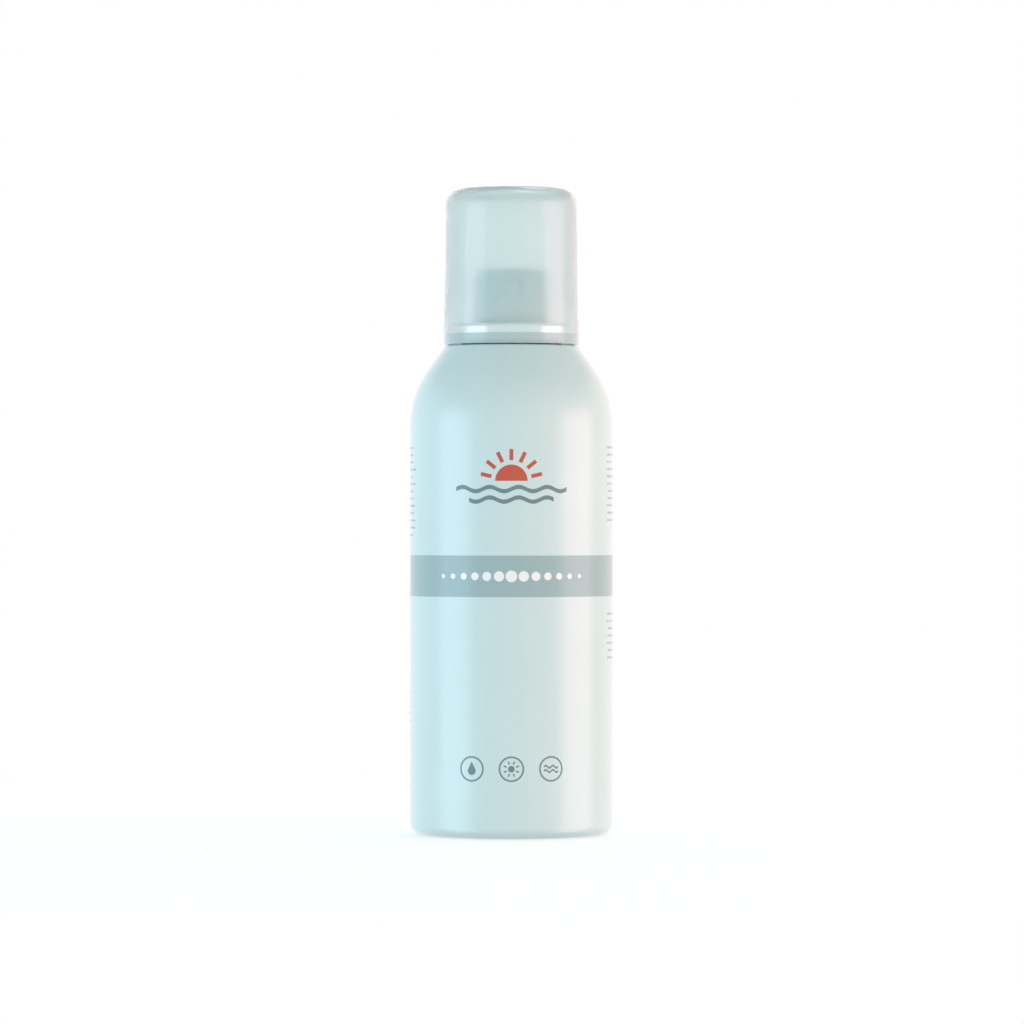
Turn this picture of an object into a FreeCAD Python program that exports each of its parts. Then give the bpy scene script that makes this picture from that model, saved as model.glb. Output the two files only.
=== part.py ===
# Pressurised sunscreen spray can: an aluminium can drawn in one piece, a one-inch spray valve crimped into
# its neck, a spray button on the valve's stem and a frosted overcap that snaps onto the valve cup.
# Millimetres and degrees. +Z is up, the can stands on z = 0 with its axis on Z, and the spray leaves towards -Y.
import FreeCAD, Part
import Sketcher
import math
import os
import re
from collections import namedtuple

# Driving dimensions. Diameters end in _dia, and lengths along the axis in _height, _length, _depth or _rise.
SIZES = {
    # Can
    "can_dia": 53.0,
    "can_wall": 0.4,
    "base_thick": 0.9,
    "heel_radius": 3.4,
    "foot_width": 1.2,
    "foot_edge": 0.4,
    "leg_run": 1.5,
    "leg_rise": 3.0,
    "knuckle_radius": 3.0,
    "dome_rise": 9.0,
    "ledge_height": 127.9,
    "ledge_inset": 0.55,
    "ledge_round": 0.5,
    "shoulder_angle": 35.0,
    "shoulder_radius": 26.0,
    "neck_bore_dia": 25.4,
    "neck_height": 3.5,
    "neck_fillet": 0.8,
    "curl_dia": 2.9,
    # Valve cup and its gasket on the can's curl
    "cup_wall": 0.25,
    "cup_gap": 0.1,
    "cup_gasket_thick": 0.4,
    "cup_gasket_spread": 60.0,
    "skirt_drop": 2.2,
    "cup_depth": 8.0,
    "cup_bend": 0.5,
    "clinch_depth": 0.6,
    "clinch_half": 0.85,
    "pedestal_dia": 12.4,
    "pedestal_rise": 6.0,
    "stem_hole_dia": 4.3,
    "crimp_depth": 0.45,
    "crimp_half": 0.7,
    # Valve
    "valve_gap": 0.1,
    "seal_gap": 0.05,
    "stem_gasket_thick": 1.2,
    "flange_height": 2.2,
    "flange_chamfer": 0.6,
    "barrel_dia": 8.8,
    "barrel_length": 12.5,
    "barrel_chamfer": 1.2,
    "cavity_dia": 6.8,
    "cavity_depth": 11.0,
    "slot_width": 1.2,
    "slot_depth": 0.8,
    "slot_count": 6,
    "tail_dia": 3.9,
    "tail_bore_dia": 1.8,
    "tail_length": 7.5,
    "tail_lead": 1.0,
    "stem_dia": 3.9,
    "stem_bore_dia": 1.6,
    "stem_rise": 10.5,
    "stem_lead": 0.4,
    "stroke": 1.5,
    "groove_dia": 3.1,
    "groove_gap": 0.05,
    "jet_dia": 0.5,
    "jet_wall": 0.35,
    "shoulder_dia": 5.8,
    "shoulder_length": 2.4,
    "spigot_dia": 3.0,
    "spigot_length": 2.2,
    "spring_dia": 5.2,
    "spring_wire": 0.5,
    "spring_turns": 5,
    "spring_gap": 0.05,
    # Dip tube
    "tube_dia": 4.8,
    "tube_fit": 0.05,
    "tube_bend_radius": 150.0,
    "tube_bend_drop": 28.0,
    "tube_wall_gap": 1.9,
    "tube_floor_gap": 1.0,
    # Spray button and nozzle insert
    "button_dia": 19.8,
    "button_taper": 0.25,
    "button_rise": 7.2,
    "button_drop": 7.7,
    "button_wall": 1.3,
    "button_roof": 2.5,
    "button_round": 1.0,
    "dish_rim": 1.5,
    "dish_depth": 1.1,
    "post_dia": 6.8,
    "post_drop": 6.2,
    "socket_fit": 0.05,
    "socket_lead": 0.5,
    "duct_dia": 1.6,
    "nozzle_rise": 2.4,
    "boss_dia": 6.6,
    "insert_dia": 4.9,
    "insert_length": 3.0,
    "insert_fit": 0.05,
    "insert_inset": 0.6,
    "orifice_dia": 0.5,
    "orifice_length": 0.4,
    "flare_dia": 2.2,
    "flare_depth": 0.6,
    "swirl_dia": 2.0,
    # Overcap
    "cap_gap": 0.3,
    "cap_wall": 1.3,
    "cap_roof": 1.5,
    "cap_height": 41.15,
    "cap_crown": 0.5,
    "cap_corner": 4.4,
    "cap_belt_height": 20.0,
    "cap_belt_inset": 0.42,
    "cap_top_inset": 0.22,
    "bead_clear": 0.15,
    "bead_height": 0.4,
    "bead_centre": 1.6,
    "bead_flat": 0.4,
    "bead_slope": 0.8,
    "gate_dia": 2.4,
    "gate_depth": 0.3,
}

# Places and sizes that follow from the driving dimensions, each in terms of those above it.
PLACES = {
    "can_radius": "can_dia / 2",
    "foot_outer": "can_radius - heel_radius",
    "foot_inner": "foot_outer - foot_width",
    "leg_length": "sqrt(leg_run^2 + leg_rise^2)",
    "dome_edge": "foot_inner - leg_run",
    "dome_sag": "dome_rise - leg_rise",
    "dome_radius": "(dome_edge^2 + dome_sag^2) / (2 * dome_sag)",
    "dome_edge_in": "dome_edge + base_thick * leg_rise / leg_length",
    "dome_foot_in": "leg_rise + base_thick * leg_run / leg_length",
    "dome_top_in": "dome_rise + base_thick",
    "dome_sag_in": "dome_top_in - dome_foot_in",
    "dome_radius_in": "(dome_edge_in^2 + dome_sag_in^2) / (2 * dome_sag_in)",
    "neck_inner": "neck_bore_dia / 2",
    "neck_outer": "neck_inner + can_wall",
    "curl_centre": "neck_inner + curl_dia / 2",
    "curl_in": "curl_dia / 2 - can_wall",
    "curl_z": "ledge_height + neck_height",
    "channel_in": "curl_dia / 2 + cup_gap",
    "channel_out": "channel_in + cup_wall",
    "rim_radius": "curl_centre + channel_out",
    "rim_top": "cup_gasket_thick + channel_out",
    "cap_foot_in": "rim_radius + bead_clear + bead_height",
    "cap_foot": "cap_foot_in + cap_wall",
    "cap_belt": "cap_foot - cap_belt_inset",
    "cap_top": "cap_belt - cap_top_inset",
    "cap_lean": "cap_belt_inset / cap_belt_height",
    "cap_side": "cap_height - cap_crown",
    "ledge_radius": "cap_foot - ledge_inset",
    "shoulder_room": "(can_radius - ledge_radius - 2 * ledge_round) / (1 - cos(shoulder_angle))",
    "shoulder_round": "min(shoulder_radius; shoulder_room)",
    "cone_low": "can_radius - shoulder_round * (1 - cos(shoulder_angle))",
    "cone_low_z": "ledge_height - (cone_low - ledge_radius) / tan(shoulder_angle)",
    "side_height": "cone_low_z - shoulder_round * sin(shoulder_angle)",
    "ledge_corner_in": "ledge_radius - can_wall * (1 - sin(shoulder_angle)) / cos(shoulder_angle)",
    "floor_z": "rim_top - cup_depth",
    "clinch_z": "-(neck_height + can_wall + cup_gap)",
    "pedestal_radius": "pedestal_dia / 2",
    "pedestal_in": "pedestal_radius - cup_wall",
    "pedestal_top": "floor_z + pedestal_rise",
    "gasket_z": "pedestal_top - cup_wall - stem_gasket_thick",
    "crimp_z": "gasket_z - flange_height - valve_gap",
    "flange_radius": "pedestal_in - valve_gap",
    "stem_gasket_radius": "pedestal_in - cup_bend",
    "housing_z": "curl_z + gasket_z",
    "stem_z": "housing_z - seal_gap",
    "groove_radius": "groove_dia / 2",
    "groove_length": "seal_gap + stem_gasket_thick + stroke + groove_gap",
    "jet_z": "seal_gap + stem_gasket_thick / 2",
    "bore_floor": "jet_z - jet_dia / 2 - jet_wall",
    "spring_space": "cavity_depth - seal_gap - shoulder_length - spring_gap",
    "button_z": "stem_z + stem_rise",
    "button_radius": "button_dia / 2",
    "button_top": "button_radius - button_taper",
    "dish_radius": "button_top - dish_rim",
    "dish_curve": "(dish_radius^2 + dish_depth^2) / (2 * dish_depth)",
    "insert_face": "button_top - insert_inset",
    "insert_seat": "insert_face - insert_length",
    "tail_z": "housing_z - barrel_length",
    "tube_reach": "can_radius - can_wall - tube_wall_gap - tube_dia / 2",
    "tube_inside": "tube_reach - tube_dia / 2",
    "tube_end_z": "dome_top_in - dome_radius_in + sqrt(dome_radius_in^2 - tube_inside^2) + tube_floor_gap",
    "cap_z": "ledge_height + cap_gap",
}

CCW = 1
CW = -1
FRONT_PLANE = "XZ_Plane"
SIDE_PLANE = "YZ_Plane"
FLOOR_PLANE = "XY_Plane"

# One corner of an outline: its two coordinates as expressions, the radius and turn of the edge that leaves it,
# where that is an arc, and the radius that rounds the corner off.
Corner = namedtuple("Corner", "across up arc turn fillet", defaults=(None, CCW, None))

doc = FreeCAD.newDocument("SunscreenSprayCan")


def add_sheet(name, cells):
    sheet = doc.addObject("Spreadsheet::Sheet", name)
    for row, (alias, text) in enumerate(cells.items(), start=1):
        sheet.set(f"A{row}", alias)
        sheet.set(f"B{row}", text)
        sheet.setAlias(f"B{row}", alias)
    doc.recompute()
    return sheet


def bound(text):
    # Writes each size or place in an expression with the name of its sheet.
    def with_sheet(match):
        name = match.group()
        if name in SIZES:
            return f"Sizes.{name}"
        return f"Places.{name}" if name in PLACES else name

    return re.sub(r"[a-z][a-z_]*", with_sheet, text)


sizes = add_sheet("Sizes", {alias: f"{number:g}" for alias, number in SIZES.items()})
places = add_sheet("Places", {alias: "=" + bound(text) for alias, text in PLACES.items()})


def value(text):
    return float(sizes.evalExpression(bound(text)))


# Sketch helpers


def sketch_on(body, name, plane, offset=None):
    sketch = body.newObject("Sketcher::SketchObject", name)
    support = [origin for origin in body.Origin.OriginFeatures if origin.Role == plane]
    sketch.AttachmentSupport = [(support[0], "")]
    sketch.MapMode = "FlatFace"
    if offset:
        sketch.setExpression("AttachmentOffset.Base.z", bound(offset))
    return sketch


def hold(sketch, edge, end, across, up):
    # Ties one end of an edge, or a centre, to the sheet by its distances from the origin.
    for kind, text, axis in (("DistanceX", across, -2), ("DistanceY", up, -1)):
        if text == "0":
            sketch.addConstraint(Sketcher.Constraint("PointOnObject", edge, end, axis))
        else:
            index = sketch.addConstraint(Sketcher.Constraint(kind, -1, 1, edge, end, value(text)))
            sketch.setExpression(f"Constraints[{index}]", bound(text))


def hold_radius(sketch, edge, text):
    index = sketch.addConstraint(Sketcher.Constraint("Radius", edge, value(text)))
    sketch.setExpression(f"Constraints[{index}]", bound(text))


def arc_between(start, end, radius, turn):
    # The shorter arc from start to end. Sketch arcs always run counter-clockwise.
    chord = end - start
    side = FreeCAD.Vector(-chord.y, chord.x, 0).normalize() * turn
    centre = (start + end) / 2 + side * math.sqrt(max(radius**2 - (chord.Length / 2) ** 2, 0))
    first, last = (start, end) if turn == CCW else (end, start)
    angles = [math.atan2(point.y - centre.y, point.x - centre.x) for point in (first, last)]
    circle = Part.Circle(centre, FreeCAD.Vector(0, 0, 1), radius)
    return Part.ArcOfCircle(circle, angles[0], angles[1])


def draw_outline(sketch, corners, closed=True):
    # Lines and arcs from corner to corner, each corner held by the sheet, then the rounded corners.
    points = [FreeCAD.Vector(value(c.across), value(c.up), 0) for c in corners]
    count = len(corners) if closed else len(corners) - 1
    ends = []
    for i in range(count):
        corner, start, end = corners[i], points[i], points[(i + 1) % len(points)]
        if corner.arc:
            sketch.addGeometry(arc_between(start, end, value(corner.arc), corner.turn), False)
            ends.append((1, 2) if corner.turn == CCW else (2, 1))
        else:
            sketch.addGeometry(Part.LineSegment(start, end), False)
            ends.append((1, 2))
    for i in range(count if closed else count - 1):
        after = (i + 1) % count
        sketch.addConstraint(Sketcher.Constraint("Coincident", i, ends[i][1], after, ends[after][0]))
    for i, corner in enumerate(corners):
        edge, end = (i, ends[i][0]) if i < count else (i - 1, ends[i - 1][1])
        hold(sketch, edge, end, corner.across, corner.up)
        if corner.arc:
            hold_radius(sketch, i, corner.arc)
    for i, corner in enumerate(corners):
        if corner.fillet:
            round_corner(sketch, (i - 1) % len(corners), i, corner)


def round_corner(sketch, before, after, corner):
    # Rounds the corner between two edges off and keeps the sharp corner as a held point on both of them.
    picks = []
    for edge in (before, after):
        geometry = sketch.Geometry[edge]
        picks.append(geometry.value((geometry.FirstParameter + geometry.LastParameter) / 2))
    added = sketch.GeometryCount
    sketch.fillet(before, after, picks[0], picks[1], value(corner.fillet), True, True)
    kinds = [type(geometry) for geometry in sketch.Geometry[added:]]
    if Part.ArcOfCircle not in kinds:
        raise ValueError(f"{sketch.Name}: the corner at {corner.across}, {corner.up} wasn't rounded")
    hold_radius(sketch, added + kinds.index(Part.ArcOfCircle), corner.fillet)
    if Part.Point not in kinds:
        point = FreeCAD.Vector(value(corner.across), value(corner.up), 0)
        sharp = sketch.addGeometry(Part.Point(point), True)
        hold(sketch, sharp, 1, corner.across, corner.up)
        for edge in (before, after):
            sketch.addConstraint(Sketcher.Constraint("PointOnObject", sharp, 1, edge))


def draw_circle(sketch, radius, across="0", up="0"):
    centre = FreeCAD.Vector(value(across), value(up), 0)
    edge = sketch.addGeometry(Part.Circle(centre, FreeCAD.Vector(0, 0, 1), value(radius)), False)
    hold(sketch, edge, 3, across, up)
    hold_radius(sketch, edge, radius)


# Body helpers


def new_body(label):
    body = doc.addObject("PartDesign::Body", label)
    body.Label = label
    return body


def turn_outline(body, name, corners, feature="PartDesign::Revolution", plane=FRONT_PLANE):
    sketch = sketch_on(body, f"{name}_outline", plane)
    draw_outline(sketch, corners)
    turned = body.newObject(feature, name)
    turned.Profile = sketch
    turned.ReferenceAxis = (sketch, ["V_Axis"])
    turned.Angle = 360
    doc.recompute()
    return turned


def extrude(body, name, sketch, feature, length=None, reverse=False, both_ways=False):
    made = body.newObject(feature, name)
    made.Profile = sketch
    made.Reversed = reverse
    if both_ways:
        made.SideType = "Symmetric"
    if length:
        made.setExpression("Length", bound(length))
    else:
        made.Type = "ThroughAll"
    doc.recompute()
    return made


def must_cut(body, before, name):
    if body.Shape.Volume >= before - 1e-6:
        raise ValueError(f"{body.Label}: {name} cut nothing")


def stand(body, **offsets):
    # Sets a sub-part at its place by expressions for the coordinates that aren't zero.
    for axis, text in offsets.items():
        body.setExpression(f"Placement.Base.{axis}", bound(text))
    return body


# Can


def make_can_body():
    body = new_body("can_body")
    outside = [
        Corner("0", "dome_rise", "dome_radius", CW),
        Corner("dome_edge", "leg_rise", fillet="knuckle_radius"),
        Corner("foot_inner", "0", fillet="foot_edge"),
        Corner("foot_outer", "0", "heel_radius"),
        Corner("can_radius", "heel_radius"),
        Corner("can_radius", "side_height", "shoulder_round"),
        Corner("cone_low", "cone_low_z"),
        Corner("ledge_radius", "ledge_height", fillet="ledge_round"),
        Corner("neck_outer + neck_fillet", "ledge_height", "neck_fillet", CW),
        Corner("neck_outer", "ledge_height + neck_fillet"),
    ]
    # The neck's edge is rolled outwards into a hollow bead.
    curl = [
        Corner("neck_outer", "curl_z", "curl_in", CW),
        Corner("curl_centre", "curl_z + curl_in", "curl_in", CW),
        Corner("curl_centre + curl_in", "curl_z", "curl_in", CW),
        Corner("curl_centre", "curl_z - curl_in"),
        Corner("curl_centre", "curl_z - curl_dia / 2", "curl_dia / 2"),
        Corner("curl_centre + curl_dia / 2", "curl_z", "curl_dia / 2"),
        Corner("curl_centre", "curl_z + curl_dia / 2", "curl_dia / 2"),
    ]
    inside = [
        Corner("neck_inner", "curl_z"),
        Corner("neck_inner", "ledge_height + neck_fillet", "neck_fillet + can_wall"),
        Corner("neck_outer + neck_fillet", "ledge_height - can_wall"),
        Corner("ledge_corner_in", "ledge_height - can_wall"),
        Corner(
            "cone_low - can_wall * cos(shoulder_angle)",
            "cone_low_z - can_wall * sin(shoulder_angle)",
            "shoulder_round - can_wall",
            CW,
        ),
        Corner("can_radius - can_wall", "side_height"),
        Corner("can_radius - can_wall", "heel_radius", "heel_radius - base_thick", CW),
        Corner("foot_outer - can_wall + base_thick", "base_thick"),
        Corner("foot_inner + base_thick * (leg_length - leg_run) / leg_rise", "base_thick"),
        Corner("dome_edge_in", "dome_foot_in", "dome_radius_in", fillet="knuckle_radius"),
        Corner("0", "dome_top_in"),
    ]
    turn_outline(body, "can_wall_turned", outside + curl + inside)
    return body


# Valve cup and its gasket. Their datum is the centre of the can's curl.


def make_mounting_cup():
    body = new_body("mounting_cup")
    wall_in = "curl_centre - channel_out"
    wall_out = "curl_centre - channel_in"
    outer_bend = "cup_bend + cup_wall"

    def bulge(wall):
        # The wall is clinched outwards under the can's neck.
        return [
            Corner(wall, "clinch_z + clinch_half"),
            Corner(f"{wall} + clinch_depth", "clinch_z"),
            Corner(wall, "clinch_z - clinch_half"),
        ]

    def crimp(wall):
        # The pedestal is crimped inwards under the valve housing's flange.
        return [
            Corner(wall, "crimp_z - crimp_half"),
            Corner(f"{wall} - crimp_depth", "crimp_z"),
            Corner(wall, "crimp_z + crimp_half"),
        ]

    top_side = [
        Corner("rim_radius", "-skirt_drop"),
        Corner("rim_radius", "cup_gasket_thick", "channel_out"),
        Corner("curl_centre", "rim_top", "channel_out"),
        Corner(wall_in, "cup_gasket_thick"),
        *bulge(wall_in),
        Corner(wall_in, "floor_z", fillet="cup_bend"),
        Corner("pedestal_radius", "floor_z", fillet="cup_bend"),
        *crimp("pedestal_radius"),
        Corner("pedestal_radius", "pedestal_top", fillet=outer_bend),
        Corner("stem_hole_dia / 2", "pedestal_top"),
    ]
    underside = [
        Corner("stem_hole_dia / 2", "pedestal_top - cup_wall"),
        Corner("pedestal_in", "pedestal_top - cup_wall", fillet="cup_bend"),
        *reversed(crimp("pedestal_in")),
        Corner("pedestal_in", "floor_z - cup_wall", fillet=outer_bend),
        Corner(wall_out, "floor_z - cup_wall", fillet=outer_bend),
        *reversed(bulge(wall_out)),
        Corner(wall_out, "cup_gasket_thick", "channel_in", CW),
        Corner("curl_centre", "rim_top - cup_wall", "channel_in", CW),
        Corner("rim_radius - cup_wall", "cup_gasket_thick"),
        Corner("rim_radius - cup_wall", "-skirt_drop"),
    ]
    turn_outline(body, "cup_sheet_turned", top_side + underside)
    return stand(body, z="curl_z")


def make_cup_gasket():
    # A ring pressed to a crescent between the curl and the cup's channel.
    body = new_body("cup_gasket")
    curve = "(curl_dia / 2 + cup_gap / 2)"
    reach = f"{curve} * sin(cup_gasket_spread)"
    height = f"{curve} * cos(cup_gasket_spread)"
    corners = [
        Corner(f"curl_centre - {reach}", height, curve, CW),
        Corner("curl_centre", curve, curve, CW),
        Corner(f"curl_centre + {reach}", height),
        Corner(f"curl_centre + {reach}", f"{height} + cup_gasket_thick", curve),
        Corner("curl_centre", f"{curve} + cup_gasket_thick", curve),
        Corner(f"curl_centre - {reach}", f"{height} + cup_gasket_thick"),
    ]
    turn_outline(body, "cup_gasket_turned", corners)
    return stand(body, z="curl_z")


# Valve


def make_stem_gasket():
    body = new_body("stem_gasket")
    corners = [
        Corner("groove_radius + groove_gap", "0"),
        Corner("stem_gasket_radius", "0"),
        Corner("stem_gasket_radius", "stem_gasket_thick"),
        Corner("groove_radius + groove_gap", "stem_gasket_thick"),
    ]
    turn_outline(body, "stem_gasket_turned", corners)
    return stand(body, z="housing_z")


def make_valve_housing():
    # Its top face presses the stem gasket, and the tail below holds the dip tube.
    body = new_body("valve_housing")
    tail_end = "-(barrel_length + tail_length)"
    corners = [
        Corner("tail_bore_dia / 2", tail_end),
        Corner("tail_dia / 2 - tail_lead / 3", tail_end),
        Corner("tail_dia / 2", f"{tail_end} + tail_lead"),
        Corner("tail_dia / 2", "-barrel_length"),
        Corner("barrel_dia / 2 - barrel_chamfer", "-barrel_length"),
        Corner("barrel_dia / 2", "barrel_chamfer - barrel_length"),
        Corner("barrel_dia / 2", "-flange_height"),
        Corner("flange_radius - flange_chamfer", "-flange_height"),
        Corner("flange_radius", "flange_chamfer - flange_height"),
        Corner("flange_radius", "0"),
        Corner("cavity_dia / 2", "0"),
        Corner("cavity_dia / 2", "-cavity_depth"),
        Corner("tail_bore_dia / 2", "-cavity_depth"),
    ]
    turn_outline(body, "housing_turned", corners)
    # Slots in the top rim let the propellant in past the gasket when the can is filled.
    slot = sketch_on(body, "filling_slot_outline", FLOOR_PLANE)
    draw_outline(
        slot,
        [
            Corner("cavity_dia / 2 - slot_depth", "-slot_width / 2"),
            Corner("flange_radius + slot_depth", "-slot_width / 2"),
            Corner("flange_radius + slot_depth", "slot_width / 2"),
            Corner("cavity_dia / 2 - slot_depth", "slot_width / 2"),
        ],
    )
    whole = body.Shape.Volume
    cut = extrude(body, "filling_slot", slot, "PartDesign::Pocket", "slot_depth")
    must_cut(body, whole, "filling_slot")
    ring = body.newObject("PartDesign::PolarPattern", "filling_slots")
    ring.Originals = [cut]
    ring.Axis = (slot, ["N_Axis"])
    ring.Angle = 360
    ring.setExpression("Occurrences", bound("slot_count"))
    body.Tip = ring
    return stand(body, z="housing_z")


def make_valve_stem():
    # Its datum is the sealing shoulder, just under the gasket. Pressed, the jet drops clear of the gasket.
    body = new_body("valve_stem")
    foot = "-(shoulder_length + spigot_length)"
    corners = [
        Corner("0", foot),
        Corner("spigot_dia / 2", foot),
        Corner("spigot_dia / 2", "-shoulder_length"),
        Corner("shoulder_dia / 2", "-shoulder_length"),
        Corner("shoulder_dia / 2", "0"),
        Corner("groove_radius", "0"),
        Corner("groove_radius", "groove_length"),
        Corner("stem_dia / 2", "groove_length"),
        Corner("stem_dia / 2", "stem_rise - stem_lead"),
        Corner("stem_dia / 2 - stem_lead / 2", "stem_rise"),
        Corner("stem_bore_dia / 2", "stem_rise"),
        Corner("stem_bore_dia / 2", "bore_floor"),
        Corner("0", "bore_floor"),
    ]
    turn_outline(body, "stem_turned", corners)
    jet = sketch_on(body, "jet_outline", FRONT_PLANE)
    draw_circle(jet, "jet_dia / 2", up="jet_z")
    whole = body.Shape.Volume
    extrude(body, "jet", jet, "PartDesign::Pocket", both_ways=True)
    must_cut(body, whole, "jet")
    return stand(body, z="stem_z")


def biarc(start, start_way, end, end_way):
    # Two arcs that leave start and reach end along the given directions and meet smoothly.
    chord = end - start
    ways = start_way + end_way
    spread = 2 * (1 - start_way.dot(end_way))
    along = chord.dot(ways)
    reach = (math.sqrt(along**2 + spread * chord.dot(chord)) - along) / spread
    knee_a = start + start_way * reach
    knee_b = end - end_way * reach
    joint = (knee_a + knee_b) / 2
    arcs = []
    for first, knee, last in ((start, knee_a, joint), (joint, knee_b, end)):
        middle = (first + last) / 2
        half = (last - first).Length / 2
        height = (knee - middle).Length
        rise = half * (math.sqrt(half**2 + height**2) - half) / height
        arcs.append(Part.Arc(first, middle + (knee - middle) * (rise / height), last).toShape())
    return arcs


def make_valve_spring():
    # One unbroken wire between the housing's floor and the stem's shoulder.
    wire = value("spring_wire")
    radius = value("(spring_dia - spring_wire) / 2")
    turns = round(value("spring_turns"))
    pitch = (value("spring_space") - wire) / turns
    steps = [quarter * math.pi / 2 for quarter in range(4 * turns + 1)]

    def point(angle):
        climb = wire / 2 + pitch * angle / (2 * math.pi)
        return FreeCAD.Vector(radius * math.cos(angle), radius * math.sin(angle), climb)

    def way(angle):
        tangent = FreeCAD.Vector(-math.sin(angle), math.cos(angle), pitch / (2 * math.pi * radius))
        return tangent.normalize()

    arcs = []
    for first, last in zip(steps, steps[1:]):
        arcs += biarc(point(first), way(first), point(last), way(last))
    path = Part.Wire(arcs)
    section = Part.Wire(Part.makeCircle(wire / 2, point(0), way(0)))
    pipe = Part.BRepOffsetAPI.MakePipeShell(path)
    pipe.add(section)
    pipe.build()
    pipe.makeSolid()
    coil = doc.addObject("Part::Feature", "valve_spring")
    coil.Label = "valve_spring"
    coil.Shape = pipe.shape()
    print_coil(coil.Shape.Volume, path, wire, pitch)
    return stand(coil, z="housing_z - cavity_depth")


def print_coil(volume, path, wire, pitch):
    samples = path.discretize(Number=400)
    turn_apart = [
        (a - b).Length for i, a in enumerate(samples) for b in samples[:i] if abs(a.z - b.z) > pitch / 2
    ]
    tube = math.pi * wire**2 / 4 * path.Length
    print(f"spring: volume {volume:.3f} of {tube:.3f} mm3, least gap to itself {min(turn_apart) - wire:.2f} mm")


def make_dip_tube():
    # Pushed over the housing's tail, then leaning back to the heel, where the last of the liquid gathers.
    body = new_body("dip_tube")
    path = sketch_on(body, "tube_path", SIDE_PLANE)
    route = [
        Corner("0", "0"),
        Corner("0", "-tube_bend_drop", fillet="tube_bend_radius"),
        Corner("tube_reach", "tube_end_z - tail_z"),
    ]
    draw_outline(path, route, closed=False)
    ring = sketch_on(body, "tube_section", FLOOR_PLANE)
    draw_circle(ring, "tube_dia / 2")
    draw_circle(ring, "tail_dia / 2 + tube_fit")
    doc.recompute()
    tube = body.newObject("PartDesign::AdditivePipe", "tube_swept")
    tube.Profile = ring
    tube.Spine = path
    doc.recompute()
    area = math.pi * (value("tube_dia / 2") ** 2 - value("tail_dia / 2 + tube_fit") ** 2)
    length = path.Shape.Length
    print(f"dip tube: volume {body.Shape.Volume:.1f} of {area * length:.1f} mm3, length {length:.1f} mm")
    return stand(body, z="tail_z")


# Spray button and nozzle insert. The button's datum is the top of the stem, the insert's its own front face.


def make_spray_button():
    body = new_body("spray_button")
    corners = [
        Corner("0", "-post_drop"),
        Corner("post_dia / 2", "-post_drop"),
        Corner("post_dia / 2", "button_rise - button_roof"),
        Corner("button_top - button_wall", "button_rise - button_roof"),
        Corner("button_radius - button_wall", "-button_drop"),
        Corner("button_radius", "-button_drop"),
        Corner("button_top", "button_rise", fillet="button_round"),
        Corner("dish_radius", "button_rise", "dish_curve", CW),
        Corner("0", "button_rise - dish_depth"),
    ]
    turn_outline(body, "button_turned", corners)
    boss = sketch_on(body, "boss_outline", FRONT_PLANE)
    draw_circle(boss, "boss_dia / 2", up="nozzle_rise")
    extrude(body, "nozzle_boss", boss, "PartDesign::Pad", "button_top - button_wall / 2")
    socket = [
        Corner("0", "-post_drop"),
        Corner("stem_dia / 2 + socket_fit + socket_lead", "-post_drop"),
        Corner("stem_dia / 2 + socket_fit", "socket_lead - post_drop"),
        Corner("stem_dia / 2 + socket_fit", "0"),
        Corner("duct_dia / 2", "0"),
        Corner("duct_dia / 2", "nozzle_rise + duct_dia / 2"),
        Corner("0", "nozzle_rise + duct_dia / 2"),
    ]
    whole = body.Shape.Volume
    turn_outline(body, "stem_socket", socket, "PartDesign::Groove")
    must_cut(body, whole, "stem_socket")
    seat = sketch_on(body, "insert_seat_outline", FRONT_PLANE, "insert_seat")
    draw_circle(seat, "insert_dia / 2 + insert_fit", up="nozzle_rise")
    whole = body.Shape.Volume
    extrude(body, "insert_seat", seat, "PartDesign::Pocket", reverse=True)
    must_cut(body, whole, "insert_seat")
    duct = sketch_on(body, "duct_outline", FRONT_PLANE)
    draw_circle(duct, "duct_dia / 2", up="nozzle_rise")
    whole = body.Shape.Volume
    extrude(body, "duct", duct, "PartDesign::Pocket", "insert_seat + insert_length / 2", reverse=True)
    must_cut(body, whole, "duct")
    return stand(body, z="button_z")


def make_nozzle_insert():
    body = new_body("nozzle_insert")
    corners = [
        Corner("orifice_dia / 2", "flare_depth"),
        Corner("flare_dia / 2", "0"),
        Corner("insert_dia / 2", "0"),
        Corner("insert_dia / 2", "insert_length"),
        Corner("swirl_dia / 2", "insert_length"),
        Corner("swirl_dia / 2", "flare_depth + orifice_length"),
        Corner("orifice_dia / 2", "flare_depth + orifice_length"),
    ]
    turn_outline(body, "insert_turned", corners, plane=FLOOR_PLANE)
    return stand(body, y="-insert_face", z="button_z + nozzle_rise")


# Overcap, with its datum at the foot


def make_overcap():
    body = new_body("overcap")
    bead_half = "bead_flat / 2"
    bead_low = f"bead_centre - {bead_half}"
    bead_high = f"bead_centre + {bead_half}"
    bead = "rim_radius + bead_clear"

    def inner(height):
        return f"cap_foot_in - cap_lean * ({height})"

    corners = [
        Corner("cap_foot", "0"),
        Corner("cap_belt", "cap_belt_height"),
        Corner("cap_top", "cap_side", fillet="cap_corner"),
        Corner("gate_dia / 2", "cap_height"),
        Corner("gate_dia / 2", "cap_height - gate_depth"),
        Corner("0", "cap_height - gate_depth"),
        Corner("0", "cap_height - cap_roof"),
        Corner("cap_top - cap_wall", "cap_side - cap_roof", fillet="cap_corner - cap_wall"),
        Corner("cap_belt - cap_wall", "cap_belt_height"),
        Corner(inner(f"{bead_high} + bead_slope"), f"{bead_high} + bead_slope"),
        Corner(bead, bead_high),
        Corner(bead, bead_low),
        Corner(inner(f"{bead_low} - bead_slope"), f"{bead_low} - bead_slope"),
        Corner("cap_foot_in", "0"),
    ]
    turn_outline(body, "cap_turned", corners)
    return stand(body, z="cap_z")


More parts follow.
